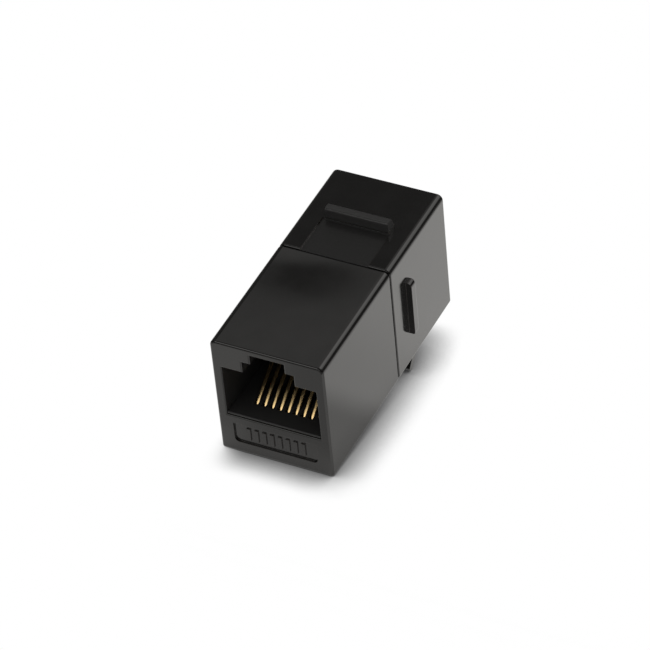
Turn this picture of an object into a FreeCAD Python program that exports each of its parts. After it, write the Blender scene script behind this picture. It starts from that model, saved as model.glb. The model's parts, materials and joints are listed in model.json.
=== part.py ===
import FreeCAD, Part
import os
import re
import Sketcher

# Inline coupler with an eight-way jack at each end, in a snap-in housing.
#
# Two moulded shells meet at a seam.  Inside, two contact carriers stand back to back with a
# circuit board clamped between them, and eight formed spring wires in each carrier have their
# tails in the board.  The shell of the panel end carries the fixed catch, the two stop lugs and
# the spring latch, all moulded with it.
#
# Every piece is drawn in the same bench frame: X across, Y from the near face to the panel face,
# Z up from the underside.  The placements then put the origin at the middle of the near port,
# on the line that a plug travels along.

SIZES = (
    # alias, millimetres (or degrees), what it sets
    ("SideWall", 1.215, "wall beside each port"),
    ("PortWidth", 12.15, "width of the plug room"),
    ("SillHeight", 5.6, "underside to the sill of the port"),
    ("LipGap", 0.18, "gap between the sill and the carrier's lip"),
    ("LipThickness", 0.24, "lip of the carrier"),
    ("PlugHeight", 7.0, "floor to ceiling of the plug room"),
    ("ShoulderRise", 1.61, "first step over the plug room"),
    ("ShoulderWidth", 6.67, "width of the first step"),
    ("TabRise", 1.38, "second step, for the plug's tab"),
    ("TabWidth", 4.4, "width of the second step"),
    ("RoofWall", 0.91, "wall over the tab slot"),
    ("BaseWall", 1.2, "floor of the shells"),
    ("FaceWall", 1.3, "thickness of a port's face"),
    ("TabRoomDepth", 8.8, "face to the end of the room for the tab"),
    ("CeilingWall", 1.0, "web over the plug room"),
    ("CoreRoof", 1.15, "wall over the cored pockets"),
    ("CoreWeb", 0.95, "web between a cored pocket and the tab room"),
    ("TopRadius", 0.8, "long edges of the top"),
    ("EdgeRadius", 0.3, "underside edges and the rim of the near face"),
    ("PanelRimRadius", 0.4, "rim of the panel face"),
    ("MouthRadius", 0.2, "rim of each port"),
    ("PanelWidth", 10.85, "sunk panel under the near port"),
    ("PanelBottom", 1.6, "underside to the sunk panel"),
    ("PanelHeight", 2.9, "height of the sunk panel"),
    ("PanelSink", 0.25, "depth of the sunk panel"),
    ("PanelRadius", 0.6, "lower corners of the sunk panel"),
    ("BarWidth", 0.5, "raised bars in the sunk panel"),
    ("BarHeight", 1.8, "height of the bars"),
    ("BarRelief", 0.15, "how far the bars stand out"),
    ("SeamBehindBoard", 0.675, "board to the middle of the seam"),
    ("SeamGap", 0.2, "groove between the shells"),
    ("SeamRadius", 0.2, "rims at the seam"),
    ("SocketWall", 0.75, "wall of the near shell round the spigot"),
    ("SpigotLength", 2.3, "seam to the end of the spigot"),
    ("SpigotFit", 0.05, "gap round the spigot"),
    ("BeadHeight", 0.2, "snap beads on the spigot"),
    ("BeadWidth", 0.8, "foot of a snap bead"),
    ("BeadLength", 7.0, "length of a snap bead"),
    ("BayHeight", 15.5, "ceiling of the bay round the board"),
    ("BoardThickness", 1.6, "circuit board"),
    ("BoardFit", 0.1, "gap round the board"),
    ("HoleDiameter", 0.9, "plated holes"),
    ("LipSetback", 0.1, "face to the front of the carrier's lip"),
    ("LipRadius", 0.1, "front edge of the lip"),
    ("CarrierDepth", 15.725, "lip to the board"),
    ("CarrierFit", 0.05, "gap beside the carrier"),
    ("CombSetback", 12.7, "face to the comb wall"),
    ("PlateThickness", 1.95, "floor plate of the carrier"),
    ("SkirtWall", 0.8, "skirts under the floor plate"),
    ("SlotWidth", 0.6, "slots for the wires to spring in"),
    ("SlotSetback", 2.4, "face to the slots"),
    ("SlotDepth", 0.6, "slots in the floor"),
    ("NoseSetback", 3.28, "face to the nose that the wires bend round"),
    ("NoseSlope", 0.55, "run of the nose's slope"),
    ("TipRoom", 0.7, "room in the comb behind a wire's tip"),
    ("CombTop", 0.6, "bridge over the comb's slots"),
    ("GrooveWidth", 0.55, "grooves under the floor plate"),
    ("GrooveDepth", 0.75, "depth of those grooves"),
    ("ContactPitch", 1.016, "spacing of the contacts"),
    ("ContactWidth", 0.46, "width of a wire"),
    ("ContactThickness", 0.3, "thickness of a wire"),
    ("ContactFit", 0.05, "gap between a wire and its groove"),
    ("BendSetback", 3.3, "face to the centre of the front bend"),
    ("BendRadius", 0.5, "centre-line radius of the front bend"),
    ("RiseAngle", 37.0, "degrees of the first rise"),
    ("EaseSetback", 5.0, "face to the point where the rise eases"),
    ("EaseAngle", 29.0, "degrees of the second rise"),
    ("EaseRadius", 6.0, "radius between the two rises"),
    ("TipSetback", 13.5, "face to the free tip"),
    ("RowSpacing", 2.54, "between the two rows of tails"),
    ("JogSetback", 2.9, "board to the start of the jog"),
    ("JogAngle", 52.0, "degrees of the jog, from the board's normal"),
    ("JogRadius", 0.6, "bends of the jog"),
    ("TailProud", 0.6, "tail beyond the board"),
    ("RecessWidth", 8.9, "shallow recess in the top"),
    ("RecessDepth", 0.18, "depth of that recess"),
    ("CatchSetback", 8.85, "panel face to the catch face"),
    ("CatchWidth", 8.25, "width of the fixed catch"),
    ("CatchHeight", 1.4, "height of the fixed catch"),
    ("CatchLand", 1.05, "top of the fixed catch"),
    ("CatchRamp", 0.7, "run of the catch's ramp"),
    ("CatchRadius", 0.3, "top edges of the catch"),
    ("LugSetback", 11.49, "panel face to the near side of a stop lug"),
    ("LugThickness", 1.2, "thickness of a stop lug"),
    ("LugProud", 0.75, "how far a stop lug stands out"),
    ("LugBottom", 4.34, "underside to the foot of a stop lug"),
    ("LugHeight", 7.9, "height of a stop lug"),
    ("LugHeadRadius", 0.6, "upper outer corner of a stop lug"),
    ("LugFootRadius", 0.3, "lower outer corner of a stop lug"),
    ("LugRimRadius", 0.25, "rim of a stop lug toward the panel"),
    ("LatchWidth", 12.8, "width of the spring latch"),
    ("LatchRootSetback", 0.9, "panel face to the root of the latch"),
    ("LatchRootThickness", 1.3, "root of the latch"),
    ("LatchThickness", 0.9, "finger tab of the latch"),
    ("LatchRelief", 0.5, "hollow over the latch"),
    ("LatchReliefFit", 0.2, "room beside and beyond the latch"),
    ("LatchStepSetback", 7.4, "panel face to the latch's step"),
    ("LatchRampSetback", 3.6, "panel face to the foot of the latch's ramp"),
    ("LatchRampDrop", 0.55, "underside to the foot of the latch's ramp"),
    ("LatchCrestDrop", 1.5, "underside to the latch's crest"),
    ("LatchStep", 0.8, "height of the latch's step"),
    ("LatchKinkSetback", 8.4, "panel face to the kink of the finger tab"),
    ("LatchKinkDrop", 1.1, "underside to the kink"),
    ("LatchTipSetback", 10.06, "panel face to the lowest edge of the tip"),
    ("LatchTipDrop", 3.2, "underside to the lowest edge of the tip"),
    ("LatchKinkRun", 0.36, "finger tab, over its kink, measured along"),
    ("LatchTipRun", 0.63, "end of the finger tab, measured along"),
    ("LatchTipRise", 0.54, "end of the finger tab, measured up"),
    ("LatchTipRadius", 0.2, "edges of the tip"),
)

CONTACT_COUNT = 8
TOLERANCE = 1e-4

# Heights, in the bench frame.
PORT_FLOOR = "(SillHeight + LipGap + LipThickness)"
PORT_CEILING = f"({PORT_FLOOR} + PlugHeight)"
SHOULDER_TOP = f"({PORT_CEILING} + ShoulderRise)"
TAB_TOP = f"({SHOULDER_TOP} + TabRise)"
BODY_TOP = f"({TAB_TOP} + RoofWall)"
PORT_AXIS = f"({PORT_FLOOR} + PlugHeight / 2)"
SPIGOT_BOTTOM = "(SocketWall + SpigotFit)"
SPIGOT_TOP = f"({BODY_TOP} - SocketWall - SpigotFit)"
PLATE_UNDERSIDE = f"({PORT_FLOOR} - PlateThickness)"
GROOVE_ROOF = f"({PLATE_UNDERSIDE} + GrooveDepth)"
LEG_HEIGHT = f"({GROOVE_ROOF} - ContactFit - ContactThickness / 2)"
LOW_ROW = f"({LEG_HEIGHT} - RowSpacing)"
CHANNEL_FLOOR = f"({LOW_ROW} - ContactThickness / 2 - ContactFit)"

# Half widths.
BODY_HALF = "(PortWidth / 2 + SideWall)"
PORT_HALF = "(PortWidth / 2)"
SOCKET_HALF = f"({BODY_HALF} - SocketWall)"
CARRIER_HALF = f"({PORT_HALF} - CarrierFit)"

# Stations along Y, from the near face.
BOARD_NEAR = "(LipSetback + CarrierDepth)"
BOARD_FAR = f"({BOARD_NEAR} + BoardThickness)"
MIDDLE = f"({BOARD_NEAR} + BoardThickness / 2)"
PANEL_FACE = f"({MIDDLE} * 2)"
SEAM = f"({BOARD_FAR} + SeamBehindBoard)"
NEAR_END = f"({SEAM} - SeamGap / 2)"
FAR_START = f"({SEAM} + SeamGap / 2)"
SPIGOT_END = f"({SEAM} - SpigotLength)"
CATCH_FACE = f"({PANEL_FACE} - CatchSetback)"

doc = FreeCAD.newDocument("inline_coupler")
sheet = doc.addObject("Spreadsheet::Sheet", "Dims")
for row, (alias, size, meaning) in enumerate(SIZES, 1):
    sheet.set(f"A{row}", meaning)
    sheet.set(f"B{row}", str(size))
    sheet.setAlias(f"B{row}", alias)
doc.recompute()


def value(expression):
    """Number that an expression of the sheet's aliases has now."""
    return float(sheet.evalExpression(expression))


def tie(item, prop, expression):
    """Bind a property to the sheet. Every capitalised word in the expression is an alias."""
    item.setExpression(prop, re.sub(r"\b([A-Z]\w+)", r"Dims.\1", expression))


def plane_of(body, role):
    """One of the body's own origin planes."""
    return next(item for item in body.Origin.OriginFeatures if item.Role == role)


def new_sketch(body, name, role, level="0"):
    """Sketch parallel to an origin plane of the body, level along X, Y or Z from it."""
    sketch = body.newObject("Sketcher::SketchObject", name)
    sketch.AttachmentSupport = (plane_of(body, role), [""])
    sketch.MapMode = "FlatFace"
    toward = "-1" if role == "XZ_Plane" else "1"
    tie(sketch, "AttachmentOffset.Base.z", f"{toward} * {level}")
    return sketch


def fix_point(sketch, line, end, corner, name):
    """Dimension a line's end from the sketch's origin, with both dimensions bound."""
    for kind, expression in zip(("DistanceX", "DistanceY"), corner):
        number = sketch.addConstraint(Sketcher.Constraint(kind, -1, 1, line, end, value(expression)))
        label = f"{name}_{kind[-1].lower()}"
        sketch.renameConstraint(number, label)
        tie(sketch, f"Constraints.{label}", expression)


def round_corner(sketch, line, radius, name):
    """Round the corner at the start of a line, with a bound radius."""
    sketch.fillet(line, 1, value(radius), True, True)
    arc = next(n for n in reversed(range(sketch.GeometryCount))
               if sketch.Geometry[n].TypeId == "Part::GeomArcOfCircle")
    number = sketch.addConstraint(Sketcher.Constraint("Radius", arc, value(radius)))
    sketch.renameConstraint(number, name)
    tie(sketch, f"Constraints.{name}", radius)


def draw_path(sketch, corners, radii, closed):
    """Straight lines through corners, rounded where radii gives a corner's number a radius."""
    points = [FreeCAD.Vector(value(across), value(up), 0) for across, up in corners]
    if closed:
        points.append(points[0])
    for start, end in zip(points, points[1:]):
        sketch.addGeometry(Part.LineSegment(start, end), False)
    count = len(points) - 1
    for line in range(1, count):
        sketch.addConstraint(Sketcher.Constraint("Coincident", line - 1, 2, line, 1))
    if closed:
        sketch.addConstraint(Sketcher.Constraint("Coincident", count - 1, 2, 0, 1))
    for line in range(count):
        fix_point(sketch, line, 1, corners[line], f"corner{line}")
    if not closed:
        fix_point(sketch, count - 1, 2, corners[-1], "last")
    for line, radius in radii.items():
        round_corner(sketch, line, radius, f"radius{line}")
    return sketch


def outline(sketch, corners, radii=None):
    """Closed profile."""
    return draw_path(sketch, corners, radii or {}, True)


def block(sketch, half, bottom, top):
    """Profile of a rectangle that is symmetric about the middle."""
    return outline(sketch, [(f"-{half}", bottom), (half, bottom), (half, top), (f"-{half}", top)])


def extrude(body, kind, name, sketch, length, toward=1, both=False):
    """Pad or Pocket from a sketch, toward +1 or -1 along its axis, or to both sides."""
    feature = body.newObject(f"PartDesign::{kind}", name)
    feature.Profile = sketch
    tie(feature, "Length", length)
    if both:
        feature.SideType = "Symmetric"
        return feature
    normal = -1 if plane_name(sketch) == "XZ_Plane" else 1
    natural = normal if kind == "Pad" else -normal
    feature.Reversed = natural != toward
    return feature


def plane_name(sketch):
    """Role of the plane that a sketch is drawn on."""
    return sketch.AttachmentSupport[0][0].Role


def pad(body, name, sketch, length, toward=1, both=False):
    """Added material."""
    return extrude(body, "Pad", name, sketch, length, toward, both)


def pocket(body, name, sketch, length, toward=1, both=False):
    """Removed material."""
    return extrude(body, "Pocket", name, sketch, length, toward, both)


def mirror_x(body, name, *features):
    """The same features on the other side of the middle."""
    mirrored = body.newObject("PartDesign::Mirrored", name)
    mirrored.Originals = list(features)
    mirrored.MirrorPlane = (plane_of(body, "YZ_Plane"), [""])
    body.Tip = mirrored
    return mirrored


def per_contact(body, name, *features):
    """Repeat features once for each contact, from the first on the left."""
    pattern = body.newObject("PartDesign::LinearPattern", name)
    pattern.Originals = list(features)
    axis = next(item for item in body.Origin.OriginFeatures if item.Role == "X_Axis")
    pattern.Direction = (axis, [""])
    tie(pattern, "Length", f"{CONTACT_COUNT - 1} * ContactPitch")
    pattern.Occurrences = CONTACT_COUNT
    body.Tip = pattern
    return pattern


def contact_x(number):
    """Place of a contact across the port, the first on the left."""
    return f"({number - (CONTACT_COUNT + 1) / 2} * ContactPitch)"


def round_edges(body, name, radius, wanted):
    """Fillet the edges of the body's last feature that wanted picks by their box."""
    doc.recompute()
    base = body.Tip
    picked = [f"Edge{n}" for n, edge in enumerate(base.Shape.Edges, 1) if wanted(edge.BoundBox)]
    fillet = body.newObject("PartDesign::Fillet", name)
    fillet.Base = (base, picked)
    tie(fillet, "Radius", radius)
    return fillet


def near(a, b):
    """Equal within a small tolerance."""
    return abs(a - b) < TOLERANCE


def new_body(label):
    """Body of one piece, placed so that the origin is the middle of the near port."""
    body = doc.addObject("PartDesign::Body", label)
    body.Label = label
    tie(body, "Placement.Base.z", f"-1 * {PORT_AXIS}")
    return body


def turn_to_far_end(body):
    """Turn a piece of the near end half round, so that it serves the panel end."""
    body.Placement = FreeCAD.Placement(body.Placement.Base, FreeCAD.Rotation(180, 0, 0))
    tie(body, "Placement.Base.y", PANEL_FACE)
    return body


def port_corners():
    """Stepped mouth that takes a plug with its tab uppermost."""
    shoulder = "(ShoulderWidth / 2)"
    tab = "(TabWidth / 2)"
    right = [(PORT_HALF, "SillHeight"), (PORT_HALF, PORT_CEILING), (shoulder, PORT_CEILING),
             (shoulder, SHOULDER_TOP), (tab, SHOULDER_TOP), (tab, TAB_TOP)]
    left = [(f"-{across}", up) for across, up in reversed(right)]
    return right + left


def shell_block(body, start, end, rim, rim_radius):
    """Outer block of a shell, from start to end, with its outer rim rounded."""
    profile = outline(new_sketch(body, "end_profile", "XZ_Plane", start),
                      [(f"-{BODY_HALF}", "0"), (BODY_HALF, "0"),
                       (BODY_HALF, BODY_TOP), (f"-{BODY_HALF}", BODY_TOP)],
                      {0: "EdgeRadius", 1: "EdgeRadius", 2: "TopRadius", 3: "TopRadius"})
    pad(body, "outer_block", profile, f"{end} - {start}")
    round_edges(body, "outer_rim", rim_radius, rim_test(value(rim)))


def rim_test(station):
    """Picks the edges that lie in the upright plane at a station."""
    return lambda box: near(box.YMin, station) and near(box.YMax, station)


def hollow_port(body, face, inward):
    """Mouth, plug room, tab room and cored pockets, inward (+1 or -1) from a face."""
    def station(depth):
        """Distance from the face, as a place along Y."""
        return f"({face} + {inward} * ({depth}))"

    mouth = outline(new_sketch(body, "mouth_profile", "XZ_Plane", face), port_corners())
    pocket(body, "mouth", mouth, "FaceWall", inward)
    round_edges(body, "mouth_rim", "min(MouthRadius; (RoofWall - PanelRimRadius) / 2)",
                mouth_rim_test(value(face)))
    room = block(new_sketch(body, "room_profile", "XZ_Plane", station("FaceWall")),
                 PORT_HALF, "BaseWall", PORT_CEILING)
    pocket(body, "plug_room", room, f"{MIDDLE} - FaceWall + BoardThickness / 2", inward)
    tab = block(new_sketch(body, "tab_profile", "XZ_Plane", station("FaceWall")),
                "(ShoulderWidth / 2)", "BaseWall", TAB_TOP)
    pocket(body, "tab_room", tab, "TabRoomDepth - FaceWall", inward)
    inner = "(ShoulderWidth / 2 + CoreWeb)"
    bottom = f"({PORT_CEILING} + CeilingWall)"
    top = f"({BODY_TOP} - CoreRoof)"
    core = outline(new_sketch(body, "core_profile", "XZ_Plane", station("FaceWall")),
                   [(inner, bottom), (PORT_HALF, bottom), (PORT_HALF, top), (inner, top)])
    cored = pocket(body, "core", core, f"{MIDDLE} - FaceWall", inward)
    mirror_x(body, "cores", cored)


def mouth_rim_test(face):
    """Picks the rim of a port: the edges in its face that lie inside the shell's outline."""
    in_face = rim_test(face)
    half = value(f"{PORT_HALF} + SideWall / 2")
    low = value("SillHeight / 2")
    high = value(f"{TAB_TOP} + (RoofWall - PanelRimRadius) / 2")

    def in_rim(box):
        """True for an edge of the rim."""
        inside = box.XMin > -half and box.XMax < half and box.ZMin > low and box.ZMax < high
        return in_face(box) and inside
    return in_rim


def front_shell():
    """Near half of the housing, with the sunk panel and its raised bars."""
    body = new_body("front_shell")
    shell_block(body, "0", NEAR_END, "0", "EdgeRadius")
    round_edges(body, "seam_rim", "SeamRadius", rim_test(value(NEAR_END)))
    hollow_port(body, "0", 1)
    sunk = outline(new_sketch(body, "panel_profile", "XZ_Plane"),
                   [("-PanelWidth / 2", "PanelBottom"), ("PanelWidth / 2", "PanelBottom"),
                    ("PanelWidth / 2", "PanelBottom + PanelHeight"),
                    ("-PanelWidth / 2", "PanelBottom + PanelHeight")],
                   {0: "PanelRadius", 1: "PanelRadius"})
    pocket(body, "sunk_panel", sunk, "PanelSink")
    middle = "(PanelBottom + PanelHeight / 2)"
    left = f"({contact_x(1)} - BarWidth / 2)"
    right = f"({contact_x(1)} + BarWidth / 2)"
    low = f"({middle} - BarHeight / 2)"
    high = f"({middle} + BarHeight / 2)"
    mark = outline(new_sketch(body, "bar_profile", "XZ_Plane", "PanelSink"),
                   [(left, low), (right, low), (right, high), (left, high)])
    per_contact(body, "bars", pad(body, "bar", mark, "BarRelief", -1))
    bay = block(new_sketch(body, "bay_profile", "XZ_Plane", NEAR_END),
                PORT_HALF, "BaseWall", "BayHeight")
    pocket(body, "board_bay", bay, f"{NEAR_END} - {BOARD_NEAR} + BoardFit", -1)
    socket = block(new_sketch(body, "socket_profile", "XZ_Plane", NEAR_END),
                   SOCKET_HALF, "SocketWall", f"({BODY_TOP} - SocketWall)")
    pocket(body, "socket", socket, f"{NEAR_END} - {SPIGOT_END}", -1)
    bead_feature(body, "bead_groove", "SpigotFit")
    return body


def bead_feature(body, name, swell):
    """Snap bead along each side of the spigot, or with swell the groove that takes it."""
    centre = f"(({SPIGOT_END} + {NEAR_END}) / 2)"
    foot = f"({SOCKET_HALF} - SpigotFit)"
    middle = f"(({SPIGOT_BOTTOM} + {SPIGOT_TOP}) / 2)"
    reach = f"(BeadWidth / 2 + {swell})"
    sketch = outline(new_sketch(body, f"{name}_profile", "XY_Plane", middle),
                     [(f"({foot} - SpigotFit)", f"({centre} - {reach})"),
                      (foot, f"({centre} - {reach})"),
                      (f"({foot} + BeadHeight + {swell})", centre),
                      (foot, f"({centre} + {reach})"),
                      (f"({foot} - SpigotFit)", f"({centre} + {reach})")])
    length = f"(BeadLength + 2 * {swell})"
    if swell == "0":
        feature = pad(body, name, sketch, length, both=True)
    else:
        feature = pocket(body, name, sketch, length, both=True)
    mirror_x(body, f"{name}s", feature)


def rear_shell():
    """Panel half of the housing: spigot, fixed catch, stop lugs and the moulded spring latch."""
    body = new_body("rear_shell")
    shell_block(body, FAR_START, PANEL_FACE, PANEL_FACE, "PanelRimRadius")
    round_edges(body, "seam_rim", "SeamRadius", rim_test(value(FAR_START)))
    spigot = block(new_sketch(body, "spigot_profile", "XZ_Plane", SPIGOT_END),
                   f"({SOCKET_HALF} - SpigotFit)", SPIGOT_BOTTOM, SPIGOT_TOP)
    pad(body, "spigot", spigot, f"{FAR_START} - {SPIGOT_END} + BaseWall")
    recess = block(new_sketch(body, "recess_profile", "XZ_Plane", FAR_START),
                   "(RecessWidth / 2)", f"({BODY_TOP} - RecessDepth)", f"({BODY_TOP} + RecessDepth)")
    pocket(body, "top_recess", recess, f"{CATCH_FACE} - {FAR_START}")
    fixed_catch(body)
    stop_lugs(body)
    latch(body)
    hollow_port(body, PANEL_FACE, -1)
    bay = block(new_sketch(body, "bay_profile", "XZ_Plane", SPIGOT_END),
                PORT_HALF, "BaseWall", "BayHeight")
    pocket(body, "board_bay", bay, f"{BOARD_FAR} + SeamBehindBoard - {SPIGOT_END} + BoardFit")
    bead_feature(body, "snap_bead", "0")
    return body


def fixed_catch(body):
    """Catch across the top: an upright face toward the seam and a ramp toward the panel."""
    land_end = f"({CATCH_FACE} + CatchLand)"
    top = f"({BODY_TOP} + CatchHeight)"
    foot = f"({BODY_TOP} - RecessDepth)"
    profile = outline(new_sketch(body, "catch_profile", "YZ_Plane"),
                      [(CATCH_FACE, foot), (f"({land_end} + CatchRamp)", foot),
                       (f"({land_end} + CatchRamp)", BODY_TOP), (land_end, top), (CATCH_FACE, top)],
                      {3: "CatchRadius", 4: "CatchRadius"})
    pad(body, "fixed_catch", profile, "CatchWidth", both=True)


def stop_lugs(body):
    """Upright lug on each side that stops the coupler against the panel's frame."""
    start = f"({PANEL_FACE} - LugSetback)"
    outer = f"({BODY_HALF} + LugProud)"
    inner = f"({BODY_HALF} - SideWall / 2)"
    head = "(LugBottom + LugHeight)"
    profile = outline(new_sketch(body, "lug_profile", "XZ_Plane", start),
                      [(inner, "LugBottom"), (outer, "LugBottom"), (outer, head), (inner, head)],
                      {1: "LugFootRadius", 2: "LugHeadRadius"})
    mirror_x(body, "stop_lugs", pad(body, "stop_lug", profile, "LugThickness"))
    in_rim = rim_test(value(f"{start} + LugThickness"))
    half = value(f"{BODY_HALF} + LugProud / 2")
    round_edges(body, "lug_rims", "LugRimRadius",
                lambda box: in_rim(box) and max(box.XMax, -box.XMin) > half)


def latch(body):
    """Spring latch under the panel end: root, arm with a catch step, and a kinked finger tab."""
    def at(setback):
        """Place along Y of a distance from the panel face."""
        return f"({PANEL_FACE} - {setback})"

    beyond = "(LatchTipSetback + LatchTipRun + LatchReliefFit)"
    relief = outline(new_sketch(body, "relief_profile", "YZ_Plane"),
                     [(at(beyond), "-LatchRelief"),
                      (at("(LatchRootSetback + LatchRootThickness)"), "-LatchRelief"),
                      (at("(LatchRootSetback + LatchRootThickness)"), "LatchRelief"),
                      (at(beyond), "LatchRelief")])
    pocket(body, "latch_relief", relief, "LatchWidth + 2 * LatchReliefFit", both=True)
    arm = outline(new_sketch(body, "latch_profile", "YZ_Plane"),
                  [(at("LatchRootSetback"), "LatchRelief"),
                   (at("LatchRootSetback"), "0"),
                   (at("LatchRampSetback"), "-LatchRampDrop"),
                   (at("LatchStepSetback"), "-LatchCrestDrop"),
                   (at("LatchStepSetback"), "-(LatchCrestDrop - LatchStep)"),
                   (at("LatchKinkSetback"), "-LatchKinkDrop"),
                   (at("LatchTipSetback"), "-LatchTipDrop"),
                   (at("(LatchTipSetback + LatchTipRun)"), "-(LatchTipDrop - LatchTipRise)"),
                   (at("(LatchKinkSetback + LatchKinkRun)"), "-(LatchKinkDrop - LatchThickness)"),
                   (at("(LatchRootSetback + LatchRootThickness)"), "LatchRelief")],
                  {6: "LatchTipRadius", 7: "LatchTipRadius"})
    pad(body, "spring_latch", arm, "LatchWidth", both=True)


def carrier(label):
    """Contact carrier: floor plate with its lip, comb wall behind it, skirts beneath."""
    body = new_body(label)
    base_start = "(FaceWall + CarrierFit)"
    ceiling = f"({PORT_CEILING} - CarrierFit)"
    lip_bottom = f"({PORT_FLOOR} - LipThickness)"
    profile = outline(new_sketch(body, "carrier_profile", "YZ_Plane"),
                      [("LipSetback", lip_bottom), ("LipSetback", PORT_FLOOR),
                       ("CombSetback", PORT_FLOOR), ("CombSetback", ceiling),
                       (BOARD_NEAR, ceiling), (BOARD_NEAR, "BaseWall"),
                       (base_start, "BaseWall"), (base_start, lip_bottom)],
                      {1: "LipRadius"})
    pad(body, "carrier_block", profile, f"2 * {CARRIER_HALF}", both=True)
    hollow = block(new_sketch(body, "hollow_profile", "XZ_Plane", f"({base_start} + SkirtWall)"),
                   f"({CARRIER_HALF} - SkirtWall)", "0", PLATE_UNDERSIDE)
    pocket(body, "hollow", hollow, f"CombSetback - {base_start} - 2 * SkirtWall")
    comb_top = f"({ceiling} - CombTop)"
    comb_end = "(TipSetback + TipRoom)"
    slot_floor = f"({PORT_FLOOR} - SlotDepth)"
    slot = outline(new_sketch(body, "slot_profile", "YZ_Plane", contact_x(1)),
                   [("SlotSetback", PLATE_UNDERSIDE), ("NoseSetback", PLATE_UNDERSIDE),
                    ("NoseSetback", f"({slot_floor} - NoseSlope * tan(RiseAngle))"),
                    ("(NoseSetback + NoseSlope)", slot_floor), (comb_end, slot_floor),
                    (comb_end, comb_top), ("SlotSetback", comb_top)])
    slots = pocket(body, "slot", slot, "SlotWidth", both=True)
    groove = outline(new_sketch(body, "groove_profile", "YZ_Plane", contact_x(1)),
                     [("SlotSetback", CHANNEL_FLOOR), (BOARD_NEAR, CHANNEL_FLOOR),
                      (BOARD_NEAR, GROOVE_ROOF), ("SlotSetback", GROOVE_ROOF)])
    grooves = pocket(body, "groove", groove, "GrooveWidth", both=True)
    per_contact(body, "slots_and_grooves", slots, grooves)
    return body


def circuit_board():
    """Board between the carriers, with a plated hole for every tail."""
    body = new_body("circuit_board")
    sheet_outline = block(new_sketch(body, "board_profile", "XZ_Plane", BOARD_NEAR),
                          f"({PORT_HALF} - BoardFit)", "(BaseWall + BoardFit)", "(BayHeight - BoardFit)")
    pad(body, "board", sheet_outline, "BoardThickness")
    holes = new_sketch(body, "hole_profile", "XZ_Plane", BOARD_NEAR)
    for number, height in enumerate((LEG_HEIGHT, LOW_ROW)):
        centre = FreeCAD.Vector(value(contact_x(1)), value(height), 0)
        radius = value("HoleDiameter / 2")
        holes.addGeometry(Part.Circle(centre, FreeCAD.Vector(0, 0, 1), radius), False)
        fix_point(holes, number, 3, (contact_x(1), height), f"hole{number}")
        constraint = holes.addConstraint(Sketcher.Constraint("Diameter", number, 2 * radius))
        tie(holes, f"Constraints[{constraint}]", "HoleDiameter")
    per_contact(body, "holes", pocket(body, "hole", holes, "BoardThickness"))
    return body


def contact(label, number):
    """One formed wire: tail, leg under the floor, front bend and the sprung rise to its tip."""
    body = new_body(label)
    place = contact_x(number)
    low = number % 2 == 0
    tail_height = LOW_ROW if low else LEG_HEIGHT
    nose = "(BendSetback - BendRadius * tan(90 - RiseAngle / 2))"
    ease_height = f"({LEG_HEIGHT} + (EaseSetback - {nose}) * tan(RiseAngle))"
    tip_height = f"({ease_height} + (TipSetback - EaseSetback) * tan(EaseAngle))"
    tail_end = f"({BOARD_FAR} + TailProud)"
    corners = [("TipSetback", tip_height), ("EaseSetback", ease_height), (nose, LEG_HEIGHT)]
    radii = {1: "EaseRadius", 2: "BendRadius"}
    if low:
        jog = f"({BOARD_NEAR} - JogSetback)"
        corners += [(jog, LEG_HEIGHT), (f"({jog} + RowSpacing / tan(JogAngle))", LOW_ROW)]
        radii.update({3: "JogRadius", 4: "JogRadius"})
    corners.append((tail_end, tail_height))
    spine = draw_path(new_sketch(body, "centre_line", "YZ_Plane", place), corners, radii, False)
    section = outline(new_sketch(body, "wire_section", "XZ_Plane", tail_end),
                      [(f"({place} - ContactWidth / 2)", f"({tail_height} - ContactThickness / 2)"),
                       (f"({place} + ContactWidth / 2)", f"({tail_height} - ContactThickness / 2)"),
                       (f"({place} + ContactWidth / 2)", f"({tail_height} + ContactThickness / 2)"),
                       (f"({place} - ContactWidth / 2)", f"({tail_height} + ContactThickness / 2)")])
    wire = body.newObject("PartDesign::AdditivePipe", "wire")
    wire.Profile = section
    wire.Spine = (spine, [])
    return body


def build():
    """Every piece of the coupler."""
    bodies = [front_shell(), rear_shell(), carrier("front_carrier"),
              turn_to_far_end(carrier("rear_carrier")), circuit_board()]
    for number in range(1, CONTACT_COUNT + 1):
        bodies.append(contact(f"contact_front_{number}", number))
        bodies.append(turn_to_far_end(contact(f"contact_rear_{number}", number)))
    doc.recompute()
    return bodies


def check(bodies):
    """Stop on a failed object, a feature that changed nothing, or a shape that isn't sound."""
    failed = [item.Name for item in doc.Objects if "Invalid" in item.State or "Error" in item.State]
    if failed:
        raise RuntimeError(f"failed objects: {failed}")
    for item in doc.Objects:
        if item.TypeId in ("PartDesign::Pad", "PartDesign::Pocket") and item.BaseFeature:
            change = item.Shape.Volume - item.BaseFeature.Shape.Volume
            if change * (1 if item.TypeId == "PartDesign::Pad" else -1) <= 0:
                raise RuntimeError(f"{item.Name} changed nothing")
    for body in bodies:
        shape = body.Shape
        if shape.isNull() or not shape.isValid() or len(shape.Solids) != 1:
            raise RuntimeError(f"{body.Label} isn't one sound solid")


pieces = build()
check(pieces)
os.makedirs("parts", exist_ok=True)
for piece in pieces:
    piece.Shape.exportStep(f"parts/{piece.Label}.step")
    print(f"{piece.Label}: {piece.Shape.Volume:.2f} mm3")
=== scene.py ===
import json
import logging
import math
from dataclasses import dataclass, field
from enum import Enum

import bpy
import numpy as np
from mathutils import Matrix, Vector


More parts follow.
